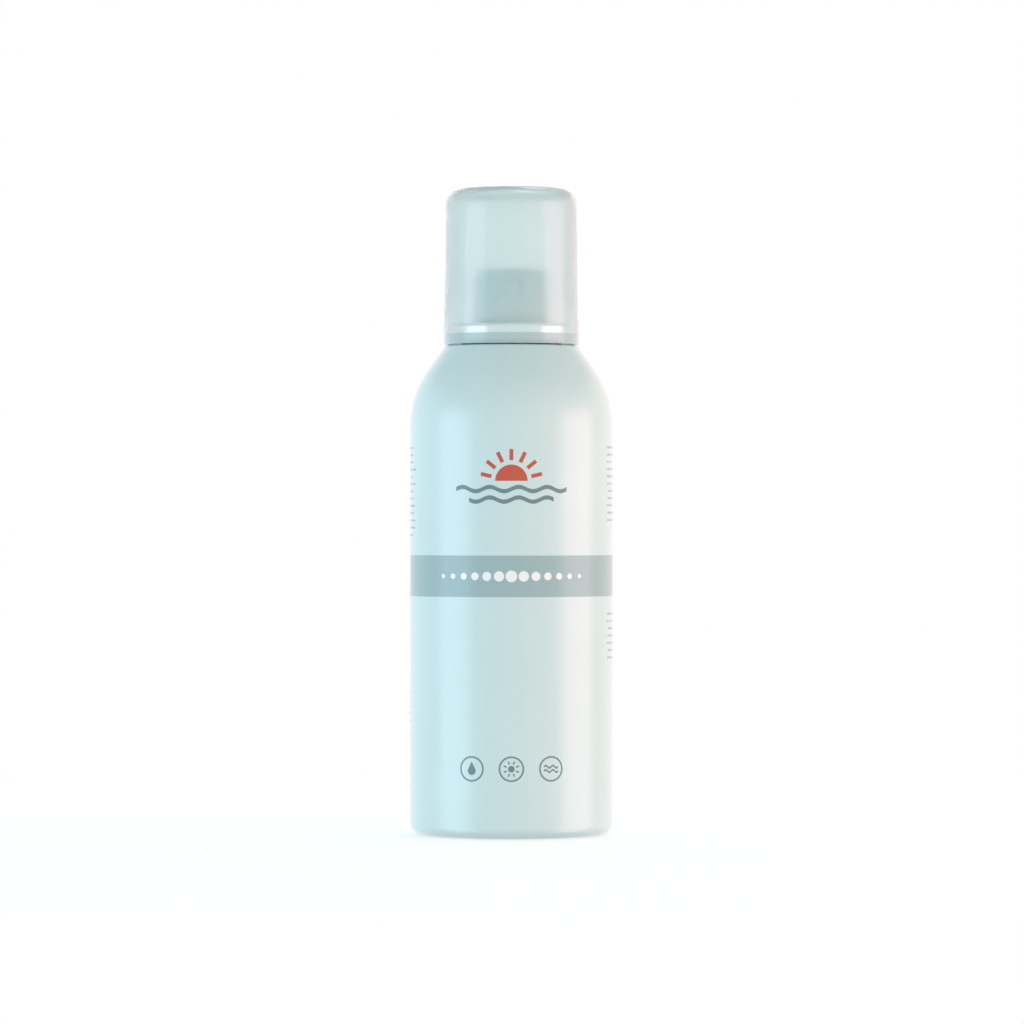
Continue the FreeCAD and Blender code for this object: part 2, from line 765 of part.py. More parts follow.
def check(subparts):
    doc.recompute()
    for item in doc.Objects:
        if "Invalid" in item.State or "Error" in item.State:
            raise ValueError(f"{item.Label} failed to build: {item.State}")
        if item.isDerivedFrom("Sketcher::SketchObject") and not item.FullyConstrained:
            raise ValueError(f"{item.Label} isn't fully held by the sheet")
    for subpart in subparts:
        shape = subpart.Shape
        if shape.isNull() or not shape.isValid() or len(shape.Solids) != 1:
            raise ValueError(f"{subpart.Label} isn't one valid solid")


def main():
    subparts = [
        make_can_body(),
        make_mounting_cup(),
        make_cup_gasket(),
        make_stem_gasket(),
        make_valve_housing(),
        make_valve_stem(),
        make_valve_spring(),
        make_dip_tube(),
        make_spray_button(),
        make_nozzle_insert(),
        make_overcap(),
    ]
    check(subparts)
    os.makedirs("parts", exist_ok=True)
    for subpart in subparts:
        subpart.Shape.exportStep(os.path.join("parts", f"{subpart.Label}.step"))
        print(f"{subpart.Label}: {subpart.Shape.Volume:.1f} mm3")


main()
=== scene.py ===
# Sunscreen spray can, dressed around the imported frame. Metres, +Z up, the printed front faces -Y.
import bpy
import bmesh
import math
from mathutils import Matrix, Vector


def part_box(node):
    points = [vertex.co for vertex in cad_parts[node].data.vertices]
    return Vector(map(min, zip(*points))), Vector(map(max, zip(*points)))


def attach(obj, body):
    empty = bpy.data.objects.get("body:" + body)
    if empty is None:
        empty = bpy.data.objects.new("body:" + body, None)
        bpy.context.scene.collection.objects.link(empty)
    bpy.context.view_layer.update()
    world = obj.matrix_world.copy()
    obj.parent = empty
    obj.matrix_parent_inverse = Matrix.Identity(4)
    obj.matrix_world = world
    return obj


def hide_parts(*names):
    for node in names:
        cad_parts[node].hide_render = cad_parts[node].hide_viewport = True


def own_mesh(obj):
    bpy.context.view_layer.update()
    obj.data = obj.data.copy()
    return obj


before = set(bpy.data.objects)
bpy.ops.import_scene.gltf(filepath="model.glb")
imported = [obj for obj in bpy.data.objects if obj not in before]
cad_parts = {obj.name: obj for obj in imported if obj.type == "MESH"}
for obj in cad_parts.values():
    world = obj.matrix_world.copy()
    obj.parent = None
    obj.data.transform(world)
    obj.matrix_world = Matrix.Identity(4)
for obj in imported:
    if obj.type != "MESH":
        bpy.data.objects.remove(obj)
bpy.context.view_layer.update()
mm = 0.001  # each piece's form is in millimetres and degrees
fullTurn = 2 * math.pi
sharpAngle = 35
mergeDistance = 0.002 * mm
print("frame loaded:", ", ".join(sorted(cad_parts)))


class Section:
    # A wire drawn with a pen in the XZ plane, in millimetres, and then turned about Z.

    def __init__(self, across, up):
        self.bm = bmesh.new()
        self.first = self.bm.verts.new((across * mm, 0, up * mm))
        self.pen = self.first
        self.corners = []

    def line(self, across, up, rounding=0):
        drawn = bmesh.ops.extrude_vert_indiv(self.bm, verts=[self.pen])
        self.pen = drawn["verts"][0]
        self.pen.co = (across * mm, 0, up * mm)
        if rounding:
            self.corners.append((self.pen, rounding * mm))

    def arc(self, across, up, degrees, steps=8, rounding=0):
        # about the centre (across, up), counter-clockwise with +X to the right
        swung = bmesh.ops.spin(
            self.bm,
            geom=[self.pen],
            cent=(across * mm, 0, up * mm),
            axis=(0, 1, 0),
            angle=math.radians(-degrees),
            steps=steps,
        )
        self.pen = [item for item in swung["geom_last"] if isinstance(item, bmesh.types.BMVert)][0]
        if rounding:
            self.corners.append((self.pen, rounding * mm))

    def close(self, rounding=0):
        self.bm.edges.new((self.pen, self.first))
        if rounding:
            self.corners.append((self.first, rounding * mm))

    def roundCorners(self, steps):
        for corner, radius in self.corners:
            ways = [(edge.other_vert(corner).co - corner.co).normalized() for edge in corner.link_edges]
            setback = radius / math.tan(ways[0].angle(ways[1]) / 2)
            bmesh.ops.bevel(
                self.bm,
                geom=[corner],
                affect="VERTICES",
                offset_type="OFFSET",
                offset=setback,
                segments=steps,
                profile=0.5,
                material=-1,
            )

    def turn(self, sides, steps=5):
        self.roundCorners(steps)
        bmesh.ops.spin(
            self.bm,
            geom=self.bm.verts[:] + self.bm.edges[:],
            cent=(0, 0, 0),
            axis=(0, 0, 1),
            angle=fullTurn,
            steps=sides,
            use_merge=True,
        )
        bmesh.ops.remove_doubles(self.bm, verts=self.bm.verts, dist=mergeDistance)
        bmesh.ops.recalc_face_normals(self.bm, faces=self.bm.faces)
        return self.bm


def fillMesh(mesh, bm, sharpFrom=sharpAngle):
    bm.to_mesh(mesh)
    bm.free()
    mesh.shade_smooth()
    mesh.set_sharp_from_angle(angle=math.radians(sharpFrom))


def finishPiece(bm, name, sharpFrom=sharpAngle):
    mesh = bpy.data.meshes.new(name)
    fillMesh(mesh, bm, sharpFrom)
    piece = bpy.data.objects.new(name, mesh)
    bpy.context.collection.objects.link(piece)
    return piece


def applyBoolean(piece, other, operation):
    # keeps the outcome as the piece's own mesh and drops the second body
    step = piece.modifiers.new(operation.lower(), "BOOLEAN")
    step.operation = operation
    step.solver = "EXACT"
    step.object = other
    graph = bpy.context.evaluated_depsgraph_get()
    outcome = bpy.data.meshes.new_from_object(piece.evaluated_get(graph))
    piece.modifiers.clear()
    spent = [piece.data, other.data]
    piece.data = outcome
    bpy.data.objects.remove(other)
    for mesh in spent:
        bpy.data.meshes.remove(mesh)


def place(piece, body, slotName, *nodes):
    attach(piece, body)
    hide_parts(*nodes)


def lowZ(node):
    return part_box(node)[0][2] / mm


def highZ(node):
    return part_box(node)[1][2] / mm


def outerRadius(node):
    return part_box(node)[1][0] / mm


# Shader building blocks
def newMaterial(name, **settings):
    material = bpy.data.materials.new(name)
    material.use_nodes = True
    shader = material.node_tree.nodes["Principled BSDF"]
    for label, value in settings.items():
        shader.inputs[label.replace("_", " ")].default_value = value
    return material, material.node_tree, shader


def feed(tree, value, socket):
    if isinstance(value, bpy.types.NodeSocket):
        tree.links.new(value, socket)
    else:
        socket.default_value = value


def calc(tree, operation, *values, clamp=False):
    node = tree.nodes.new("ShaderNodeMath")
    node.operation = operation
    node.use_clamp = clamp
    for value, socket in zip(values, node.inputs):
        feed(tree, value, socket)
    return node.outputs[0]


def mixColour(tree, share, under, over):
    node = tree.nodes.new("ShaderNodeMix")
    node.data_type = "RGBA"
    # inputs 6 and 7 and output 2 are the node's colour sockets
    feed(tree, share, node.inputs[0])
    feed(tree, under, node.inputs[6])
    feed(tree, over, node.inputs[7])
    return node.outputs[2]


def objectPlace(tree):
    # Object coordinates, turned from metres into millimetres
    where = tree.nodes.new("ShaderNodeTexCoord")
    scale = tree.nodes.new("ShaderNodeVectorMath")
    scale.operation = "SCALE"
    scale.inputs["Scale"].default_value = 1 / mm
    tree.links.new(where.outputs["Object"], scale.inputs[0])
    return scale.outputs[0]


def noise(tree, where, scale, detail=2.0):
    node = tree.nodes.new("ShaderNodeTexNoise")
    tree.links.new(where, node.inputs["Vector"])
    node.inputs["Scale"].default_value = scale
    node.inputs["Detail"].default_value = detail
    return node.outputs["Fac"]


def between(tree, value, low, high):
    # spreads a 0 to 1 value over low to high
    return calc(tree, "MULTIPLY_ADD", value, high - low, low)


def addBump(tree, shader, height, strength, distance):
    bump = tree.nodes.new("ShaderNodeBump")
    bump.inputs["Strength"].default_value = strength
    bump.inputs["Distance"].default_value = distance
    tree.links.new(height, bump.inputs["Height"])
    tree.links.new(bump.outputs[0], shader.inputs["Normal"])


# Can, drawn in one piece: domed base, heel, side, shoulder, ledge for the overcap, neck and curl
canForm = {
    "sides": 192,
    "radius": outerRadius("can_body"),
    "wall": 0.4,
    "base": 0.9,
    "heel": 3.4,
    "footWidth": 1.2,
    "footEdge": 0.4,
    "legRun": 1.5,
    "legRise": 3.0,
    "knuckle": 3.0,
    "domeRise": 9.0,
    "shoulderRadius": 26.0,
    "shoulderAngle": 35.0,
    "ledgeHeight": 127.9,
    "ledgeRadius": 17.25,
    "ledgeRound": 0.9,
    "neckInner": 12.7,
    "neckFillet": 0.8,
    "curlHeight": 131.4,
    "curlRadius": 1.45,
    "bareHeel": 1.75,
    "bareCurl": 1.5,
}


def domeArc(reach, sag):
    radius = (reach**2 + sag**2) / (2 * sag)
    return radius, math.degrees(math.asin(reach / radius))


def buildCan(form):
    wall = form["wall"]
    base = form["base"]
    radius = form["radius"]
    lean = math.radians(form["shoulderAngle"])
    footOuter = radius - form["heel"]
    footInner = footOuter - form["footWidth"]
    domeEdge = footInner - form["legRun"]
    arcRadius = form["shoulderRadius"]
    coneLow = radius - arcRadius * (1 - math.cos(lean))
    coneLowZ = form["ledgeHeight"] - (coneLow - form["ledgeRadius"]) / math.tan(lean)
    sideTop = coneLowZ - arcRadius * math.sin(lean)
    ledge = form["ledgeHeight"]
    neckOuter = form["neckInner"] + wall
    neckTurn = neckOuter + form["neckFillet"]
    curl = form["curlHeight"]
    curlCentre = form["neckInner"] + form["curlRadius"]
    domeRadius, swing = domeArc(domeEdge, form["domeRise"] - form["legRise"])

    pen = Section(0, form["domeRise"])
    pen.arc(0, form["domeRise"] - domeRadius, -swing, steps=18, rounding=form["knuckle"])
    pen.line(footInner, 0, form["footEdge"])
    pen.line(footOuter, 0)
    pen.arc(footOuter, form["heel"], 90, steps=10)
    pen.line(radius, sideTop)
    pen.arc(radius - arcRadius, sideTop, form["shoulderAngle"], steps=20)
    pen.line(form["ledgeRadius"], ledge, form["ledgeRound"])
    pen.line(neckTurn, ledge)
    pen.arc(neckTurn, ledge + form["neckFillet"], -90, steps=6)
    pen.line(neckOuter, curl)
    pen.arc(curlCentre, curl, -270, steps=18)
    pen.line(curlCentre, curl - form["curlRadius"])
    pen.arc(curlCentre, curl, 270, steps=24)
    pen.line(form["neckInner"], ledge + form["neckFillet"])
    pen.arc(neckTurn, ledge + form["neckFillet"], 90, steps=6)
    pen.line(form["ledgeRadius"] - wall * (1 - math.sin(lean)) / math.cos(lean), ledge - wall)
    pen.line(coneLow - wall * math.cos(lean), coneLowZ - wall * math.sin(lean))
    pen.arc(radius - arcRadius, sideTop, -form["shoulderAngle"], steps=20)
    pen.line(radius - wall, form["heel"])
    pen.arc(radius - wall - form["heel"] + base, form["heel"], -90)
    legLength = math.hypot(form["legRun"], form["legRise"])
    pen.line(footInner + base * (legLength - form["legRun"]) / form["legRise"], base)
    domeEdgeIn = domeEdge + base * form["legRise"] / legLength
    domeFootIn = form["legRise"] + base * form["legRun"] / legLength
    topIn = form["domeRise"] + base
    domeRadiusIn, swingIn = domeArc(domeEdgeIn, topIn - domeFootIn)
    pen.line(domeEdgeIn, domeFootIn, form["knuckle"])
    pen.arc(0, topIn - domeRadiusIn, swingIn, steps=18)
    return finishPiece(pen.turn(form["sides"]), "printedCan")


canPiece = buildCan(canForm)
place(canPiece, "can", "lacquered_aluminium", "can_body")

# The lacquer stops at the heel's foot and below the curl; the rest is bare metal, in slot 1.
for face in canPiece.data.polygons:
    outward = Vector(face.normal).dot(Vector((face.center.x, face.center.y, 0)).normalized())
    reach = math.hypot(face.center.x, face.center.y) / mm
    height = face.center.z / mm
    isFoot = height < canForm["heel"] and reach < canForm["radius"] - canForm["bareHeel"]
    isCurl = height > canForm["curlHeight"] - canForm["bareCurl"]
    face.material_index = 1 if outward < 0 or isFoot or isCurl else 0
print("can built")


# Overcap, drawn from its foot
capForm = {
    "sides": 192,
    "foot": lowZ("overcap"),
    "footRadius": 17.8,
    "wall": 1.3,
    "roof": 1.5,
    "height": highZ("overcap") - lowZ("overcap"),
    "crown": 0.5,
    "corner": 4.4,
    "beltHeight": 20.0,
    "beltRadius": 17.38,
    "topRadius": 17.16,
    "beadRadius": 16.1,
    "beadCentre": 1.6,
    "beadFlat": 0.4,
    "beadSlope": 0.8,
    "beadRound": 0.2,
    "beadFillet": 0.4,
    "gateRadius": 1.2,
    "gateDepth": 0.3,
    "gateRound": 0.15,
    "gateFillet": 0.1,
    "edgeRound": 0.25,
    "cornerSteps": 16,
}


def buildCap(form):
    foot = form["foot"]
    wall = form["wall"]
    top = foot + form["height"]
    side = top - form["crown"]
    belt = foot + form["beltHeight"]
    lean = (form["footRadius"] - form["beltRadius"]) / form["beltHeight"]
    bead = foot + form["beadCentre"]
    flat = form["beadFlat"] / 2
    reach = flat + form["beadSlope"]

    def inner(height):
        return form["footRadius"] - wall - lean * (height - foot)

    pen = Section(form["footRadius"], foot)
    pen.line(form["beltRadius"], belt)
    pen.line(form["topRadius"], side, form["corner"])
    pen.line(form["gateRadius"], top, form["gateRound"])
    pen.line(form["gateRadius"], top - form["gateDepth"], form["gateFillet"])
    pen.line(0, top - form["gateDepth"])
    pen.line(0, top - form["roof"])
    pen.line(form["topRadius"] - wall, side - form["roof"], form["corner"] - wall)
    pen.line(form["beltRadius"] - wall, belt)
    pen.line(inner(bead + reach), bead + reach, form["beadFillet"])
    pen.line(form["beadRadius"], bead + flat, form["beadRound"])
    pen.line(form["beadRadius"], bead - flat, form["beadRound"])
    pen.line(inner(bead - reach), bead - reach, form["beadFillet"])
    pen.line(inner(foot), foot, form["edgeRound"])
    pen.close(form["edgeRound"])
    # the edge on the axis is spun into nothing and merges away
    return finishPiece(pen.turn(form["sides"], steps=form["cornerSteps"]), "frostedCap")


capPiece = buildCap(capForm)
place(capPiece, "overcap", "frosted_plastic", "overcap")

# The cap's inner face is smoother than its outer one and wears slot 1.
capMiddle = Vector((0, 0, (capForm["foot"] + capForm["height"] / 2) * mm))
for face in capPiece.data.polygons:
    isInside = face.normal.dot(face.center - capMiddle) < 0
    face.material_index = 1 if isInside else 0
print("overcap built")


# Valve cup, pressed from sheet. Heights are above the centre of the can's curl.
cupForm = {
    "sides": 128,
    "datum": canForm["curlHeight"],
    "sheet": 0.25,
    "rimRadius": outerRadius("mounting_cup"),
    "rimBend": 1.8,
    "rimCentre": 0.4,
    "rimCorner": 1.15,
    "skirt": 2.2,
    "floor": -5.8,
    "clinch": -4.0,
    "clinchHalf": 0.85,
    "clinchDepth": 0.6,
    "pedestal": 6.2,
    "pedestalTop": 0.2,
    "crimp": -3.55,
    "crimpHalf": 0.7,
    "crimpDepth": 0.45,
    "hole": 2.15,
    "bend": 0.5,
    "foldBend": 0.4,
}


def buildCup(form):
    sheet = form["sheet"]
    datum = form["datum"]
    outerBend = form["bend"] + sheet
    centre = form["rimRadius"] - form["rimBend"]
    rimTop = datum + form["rimCentre"] + form["rimBend"]
    rimCorner = form["rimCorner"]
    floor = datum + form["floor"]
    top = datum + form["pedestalTop"]
    clinch = datum + form["clinch"]
    crimp = datum + form["crimp"]

    def fold(pen, wall, middle, half, depth, way):
        pen.line(wall, middle - way * half, form["foldBend"])
        pen.line(wall + depth, middle, form["foldBend"])
        pen.line(wall, middle + way * half, form["foldBend"])

    wall = centre - form["rimBend"]
    pen = Section(form["rimRadius"], datum - form["skirt"])
    pen.line(form["rimRadius"], rimTop, rimCorner)
    pen.line(wall, rimTop, rimCorner)
    fold(pen, wall, clinch, form["clinchHalf"], form["clinchDepth"], -1)
    pen.line(wall, floor, form["bend"])
    pen.line(form["pedestal"], floor, form["bend"])
    fold(pen, form["pedestal"], crimp, form["crimpHalf"], -form["crimpDepth"], 1)
    pen.line(form["pedestal"], top, outerBend)
    pen.line(form["hole"], top)
    pen.line(form["hole"], top - sheet)
    pen.line(form["pedestal"] - sheet, top - sheet, form["bend"])
    fold(pen, form["pedestal"] - sheet, crimp, form["crimpHalf"], -form["crimpDepth"], -1)
    pen.line(form["pedestal"] - sheet, floor - sheet, outerBend)
    pen.line(wall + sheet, floor - sheet, outerBend)
    fold(pen, wall + sheet, clinch, form["clinchHalf"], form["clinchDepth"], 1)
    pen.line(wall + sheet, rimTop - sheet, rimCorner - sheet)
    pen.line(form["rimRadius"] - sheet, rimTop - sheet, rimCorner - sheet)
    pen.line(form["rimRadius"] - sheet, datum - form["skirt"])
    pen.close()
    return finishPiece(pen.turn(form["sides"]), "valveCup")


cupPiece = buildCup(cupForm)
place(cupPiece, "can", "tinplate", "mounting_cup")
print("valve cup built")


# Spray button and its nozzle insert. Heights are above the top of the valve's stem.
buttonForm = {
    "sides": 128,
    "datum": highZ("valve_stem"),
    "radius": outerRadius("spray_button"),
    "taper": 0.25,
    "rise": 7.2,
    "drop": 7.7,
    "wall": 1.3,
    "roof": 2.5,
    "topRound": 1.0,
    "footRound": 0.3,
    "dishRim": 1.5,
    "dishDepth": 1.1,
    "dishRound": 0.9,
    "underFillet": 0.3,
    "post": 3.4,
    "postDrop": 6.2,
    "socket": 2.0,
    "lead": 0.5,
    "duct": 0.8,
    "nozzleRise": 2.4,
    "boss": 3.3,
    "seat": 2.5,
    "seatDepth": -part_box("nozzle_insert")[1][1] / mm,  # from the axis to the insert's inner end
    "seatRound": 0.2,
}


def barAlongY(radius, near, far, up, sides=64):
    # a plain round bar between two places along Y, in millimetres
    bm = bmesh.new()
    lie = Matrix.Translation((0, (near + far) / 2 * mm, up * mm)) @ Matrix.Rotation(math.pi / 2, 4, "X")
    bmesh.ops.create_cone(
        bm,
        cap_ends=True,
        segments=sides,
        radius1=radius * mm,
        radius2=radius * mm,
        depth=abs(far - near) * mm,
        matrix=lie,
    )
    return finishPiece(bm, "bar")


def buildButton(form):
    datum = form["datum"]
    topRadius = form["radius"] - form["taper"]
    top = datum + form["rise"]
    under = top - form["roof"]
    nozzle = datum + form["nozzleRise"]
    dish = topRadius - form["dishRim"]
    dishRadius, swing = domeArc(dish, form["dishDepth"])

    pen = Section(0, nozzle + form["duct"])
    pen.line(form["duct"], nozzle + form["duct"])
    pen.line(form["duct"], datum)
    pen.line(form["socket"], datum)
    pen.line(form["socket"], datum - form["postDrop"] + form["lead"])
    pen.line(form["socket"] + form["lead"], datum - form["postDrop"])
    pen.line(form["post"], datum - form["postDrop"])
    pen.line(form["post"], under, form["underFillet"])
    pen.line(topRadius - form["wall"], under, form["underFillet"])
    pen.line(form["radius"] - form["wall"], datum - form["drop"], form["footRound"])
    pen.line(form["radius"], datum - form["drop"], form["footRound"])
    pen.line(topRadius, top, form["topRound"])
    pen.line(dish, top, form["dishRound"])
    pen.arc(0, top - form["dishDepth"] + dishRadius, -swing, steps=10)
    button = finishPiece(pen.turn(form["sides"]), "sprayButton")
    applyBoolean(button, barAlongY(form["boss"], -topRadius + form["wall"] / 2, 0, nozzle), "UNION")
    applyBoolean(button, barAlongY(form["seat"], -2 * topRadius, -form["seatDepth"], nozzle), "DIFFERENCE")
    applyBoolean(button, barAlongY(form["duct"], -topRadius, 0, nozzle, sides=32), "DIFFERENCE")
    return button


def softenSeat(piece, form):
    # rounds the mouth of the nozzle's seat, the sharp loop on the button's outer wall
    bm = bmesh.new()
    bm.from_mesh(piece.data)
    nozzle = (form["datum"] + form["nozzleRise"]) * mm
    onSeat = 0.02
    sharpBend = 0.6
    mouth = []
    for edge in bm.edges:
        offsets = [math.hypot(v.co.x, v.co.z - nozzle) / mm - form["seat"] for v in edge.verts]
        outside = all(v.co.y < (form["wall"] - form["radius"]) * mm for v in edge.verts)
        if outside and max(map(abs, offsets)) < onSeat and edge.calc_face_angle(0) > sharpBend:
            mouth.append(edge)
    bmesh.ops.bevel(
        bm,
        geom=mouth,
        affect="EDGES",
        offset_type="OFFSET",
        offset=form["seatRound"] * mm,
        segments=3,
        profile=0.5,
        material=-1,
    )
    fillMesh(piece.data, bm)


buttonPiece = buildButton(buttonForm)
softenSeat(buttonPiece, buttonForm)
place(buttonPiece, "spray_button", "button_plastic", "spray_button")

insertForm = {
    "sides": 64,
    "radius": outerRadius("nozzle_insert"),
    "length": 3.0,
    "orifice": 0.25,
    "orificeLength": 0.4,
    "flare": 1.1,
    "flareDepth": 0.6,
    "swirl": 1.0,
    "edgeRound": 0.2,
    "flareRound": 0.1,
}


def buildInsert(form):
    # drawn with its face on the floor, then laid down so that its depth runs along +Y
    throat = form["flareDepth"] + form["orificeLength"]
    pen = Section(form["orifice"], form["flareDepth"])
    pen.line(form["flare"], 0, form["flareRound"])
    pen.line(form["radius"], 0, form["edgeRound"])
    pen.line(form["radius"], form["length"])
    pen.line(form["swirl"], form["length"])
    pen.line(form["swirl"], throat)
    pen.line(form["orifice"], throat)
    pen.close()
    bm = pen.turn(form["sides"], steps=3)
    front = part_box("nozzle_insert")[0][1]
    centre = (highZ("nozzle_insert") + lowZ("nozzle_insert")) / 2 * mm
    lie = Matrix.Translation((0, front, centre)) @ Matrix.Rotation(-math.pi / 2, 4, "X")
    bmesh.ops.transform(bm, matrix=lie, verts=bm.verts)
    return finishPiece(bm, "nozzleInsert")


insertPiece = buildInsert(insertForm)
place(insertPiece, "spray_button", "button_plastic", "nozzle_insert")
print("button and nozzle built")


# Valve spring, drawn between the ends of its frame piece; the real one shortens as the stem is pressed
springForm = {
    "wire": 0.5,
    "wireSides": 12,
    "outer": outerRadius("valve_spring"),
    "turns": 5,
    "foot": lowZ("valve_spring"),
    "head": highZ("valve_spring"),
    "stroke": 1.5,  # how far stem_press goes
    "stepsPerTurn": 32,
}


def buildSpring(form):
    bm = bmesh.new()
    middle = form["outer"] - form["wire"] / 2
    start = Matrix.Translation((middle * mm, 0, (form["foot"] + form["wire"] / 2) * mm))
    bmesh.ops.create_circle(
        bm,
        cap_ends=True,
        segments=form["wireSides"],
        radius=form["wire"] / 2 * mm,
        matrix=start @ Matrix.Rotation(math.pi / 2, 4, "X"),
    )
    steps = form["turns"] * form["stepsPerTurn"]
    climb = form["head"] - form["foot"] - form["wire"]
    bmesh.ops.spin(
        bm,
        geom=bm.verts[:] + bm.edges[:] + bm.faces[:],
        cent=(0, 0, 0),
        dvec=(0, 0, climb / steps * mm),
        axis=(0, 0, 1),
        angle=fullTurn * form["turns"],
        steps=steps,
    )
    bmesh.ops.remove_doubles(bm, verts=bm.verts, dist=mergeDistance)
    bmesh.ops.recalc_face_normals(bm, faces=bm.faces)
    return finishPiece(bm, "valveSpring", sharpFrom=60)


springPiece = buildSpring(springForm)
place(springPiece, "can", "spring_steel", "valve_spring")
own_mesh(springPiece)
print("spring built")


# The can's print, in millimetres round the can from the middle of its front and up from its foot. A shape
# is drawn as a distance: how far a place lies outside the ink, negative under it.
printForm = {
    "edge": 0.12,
    "finish": {
        "flakeScale": 9.0,
        "cloudScale": 0.06,
        "flakeShare": 0.4,
        "tint": (0.96, 1.02),
        "roughness": (0.26, 0.32),
        "bump": 0.05,
        "bumpDepth": 0.05,
    },
    "lacquer": (0.63, 0.79, 0.79, 1),
    "seamInk": (0.55, 0.71, 0.715, 1),
    # painted shade, laid over the lacquer towards the foot
    "paintedHeelShade": (0.50, 0.63, 0.635, 1),
    "heelShadeRise": 3.0,
    "bandInk": (0.35, 0.495, 0.505, 1),
    "greyInk": (0.16, 0.26, 0.28, 1),
    "warmInk": (0.58, 0.10, 0.05, 1),
    "paleInk": (0.93, 0.95, 0.95, 1),
    "fineInk": (0.30, 0.43, 0.46, 1),
    "band": (62.5, 73.2),
    "dots": {"level": 67.85, "pitch": 3.2, "middle": 1.5, "fall": 0.05, "spread": 20.8},
    "sun": {"horizon": 92.4, "radius": 4.2, "rays": 14, "near": 5.3, "far": 8.2, "half": 0.5},
    "waves": [
        {"level": 90.3, "swing": 0.55, "length": 7.5, "half": 0.55, "spread": 15.0},
        {"level": 87.6, "swing": 0.55, "length": 7.5, "half": 0.55, "spread": 11.25},
    ],
    "badges": {"level": 18.3, "pitch": 10.5, "radius": 3.3, "line": 0.45},
    "badgeDrop": {"bowl": 1.1, "sink": 0.5, "tip": 1.9},
    "badgeSun": {"radius": 0.85, "rays": 8, "near": 1.3, "far": 2.1, "half": 0.2},
    "badgeWaves": [
        {"level": 0.55, "swing": 0.3, "length": 2.0, "half": 0.25, "spread": 2.0},
        {"level": -0.55, "swing": 0.3, "length": 2.0, "half": 0.25, "spread": 2.0},
    ],
    "rules": [
        {"side": 1, "low": 81.4, "high": 102.2, "near": 32.4, "far": 74.0, "ragged": 0.0},
        {"side": -1, "low": 77.5, "high": 102.2, "near": 32.0, "far": 74.0, "ragged": 3.0},
        {"side": 1, "low": 45.6, "high": 59.0, "near": 32.4, "far": 74.0, "ragged": 0.0},
        {"side": -1, "low": 12.0, "high": 40.0, "near": 37.0, "far": 74.0, "ragged": 3.0},
    ],
    "ruled": {"pitch": 1.89, "bar": 0.55, "raggedEnd": 14.0},
    "ruleGaps": {"along": 0.9, "perRow": 5.3, "level": 0.62, "slope": 2.0},
    "seamHalf": 0.5,
}


def strip(tree, value, low, high):
    # the distance to a strip between two values
    fromMiddle = calc(tree, "ABSOLUTE", calc(tree, "SUBTRACT", value, (low + high) / 2))
    return calc(tree, "SUBTRACT", fromMiddle, (high - low) / 2)


def span(tree, across, up):
    return calc(tree, "SQRT", calc(tree, "MULTIPLY_ADD", across, across, calc(tree, "MULTIPLY", up, up)))


def rays(tree, across, up, count, near, far, half):
    reach = span(tree, across, up)
    step = fullTurn / count
    angle = calc(tree, "SUBTRACT", calc(tree, "ARCTAN2", up, across), step / 2)
    turned = calc(tree, "WRAP", angle, step / 2, -step / 2)
    aside = calc(tree, "MULTIPLY", reach, calc(tree, "SINE", turned))
    return calc(tree, "MAXIMUM", strip(tree, aside, -half, half), strip(tree, reach, near, far))


def wave(tree, across, up, level, swing, length, half, spread):
    ripple = calc(tree, "SINE", calc(tree, "MULTIPLY", across, fullTurn / length))
    line = calc(tree, "SUBTRACT", up, calc(tree, "MULTIPLY_ADD", ripple, swing, level))
    return calc(tree, "MAXIMUM", strip(tree, line, -half, half), strip(tree, across, -spread, spread))


def risingSun(tree, across, up, sun):
    lift = calc(tree, "SUBTRACT", up, sun["horizon"])
    disc = calc(tree, "SUBTRACT", span(tree, across, lift), sun["radius"])
    beams = rays(tree, across, lift, sun["rays"], sun["near"], sun["far"], sun["half"])
    return calc(tree, "MAXIMUM", calc(tree, "MINIMUM", disc, beams), calc(tree, "MULTIPLY", lift, -1))


def dotRow(tree, across, up, dots):
    # dots on an even pitch, the largest in the middle
    count = calc(tree, "ROUND", calc(tree, "DIVIDE", across, dots["pitch"]))
    nearest = calc(tree, "MULTIPLY", count, dots["pitch"])
    size = calc(tree, "MULTIPLY_ADD", calc(tree, "ABSOLUTE", nearest), -dots["fall"], dots["middle"])
    offset = calc(tree, "SUBTRACT", across, nearest)
    disc = calc(tree, "SUBTRACT", span(tree, offset, calc(tree, "SUBTRACT", up, dots["level"])), size)
    return calc(tree, "MAXIMUM", disc, strip(tree, across, -dots["spread"], dots["spread"]))


def dropPicture(tree, x, y, drop):
    # a round bowl, and above the badge's middle two straight flanks that meet at the tip
    bowl = calc(tree, "SUBTRACT", span(tree, x, calc(tree, "ADD", y, drop["sink"])), drop["bowl"])
    slant = math.asin(drop["bowl"] / (drop["tip"] + drop["sink"]))
    leaning = calc(tree, "MULTIPLY", calc(tree, "ABSOLUTE", x), math.cos(slant))
    flank = calc(tree, "MULTIPLY_ADD", calc(tree, "SUBTRACT", y, drop["tip"]), math.sin(slant), leaning)
    tip = calc(tree, "MAXIMUM", flank, calc(tree, "MULTIPLY", y, -1))
    return calc(tree, "MINIMUM", bowl, tip)


def sunPicture(tree, x, y, sun):
    disc = calc(tree, "SUBTRACT", span(tree, x, y), sun["radius"])
    beams = rays(tree, x, y, sun["rays"], sun["near"], sun["far"], sun["half"])
    return calc(tree, "MINIMUM", disc, beams)


def wavePicture(tree, x, y, waves):
    upper, lower = [wave(tree, x, y, **line) for line in waves]
    return calc(tree, "MINIMUM", upper, lower)


def badge(tree, across, up, row, middle, draw, picture):
    # a small ring with a plain picture in it
    x = calc(tree, "SUBTRACT", across, middle)
    y = calc(tree, "SUBTRACT", up, row["level"])
    ring = strip(tree, span(tree, x, y), row["radius"] - row["line"], row["radius"])
    return calc(tree, "MINIMUM", ring, draw(tree, x, y, picture))


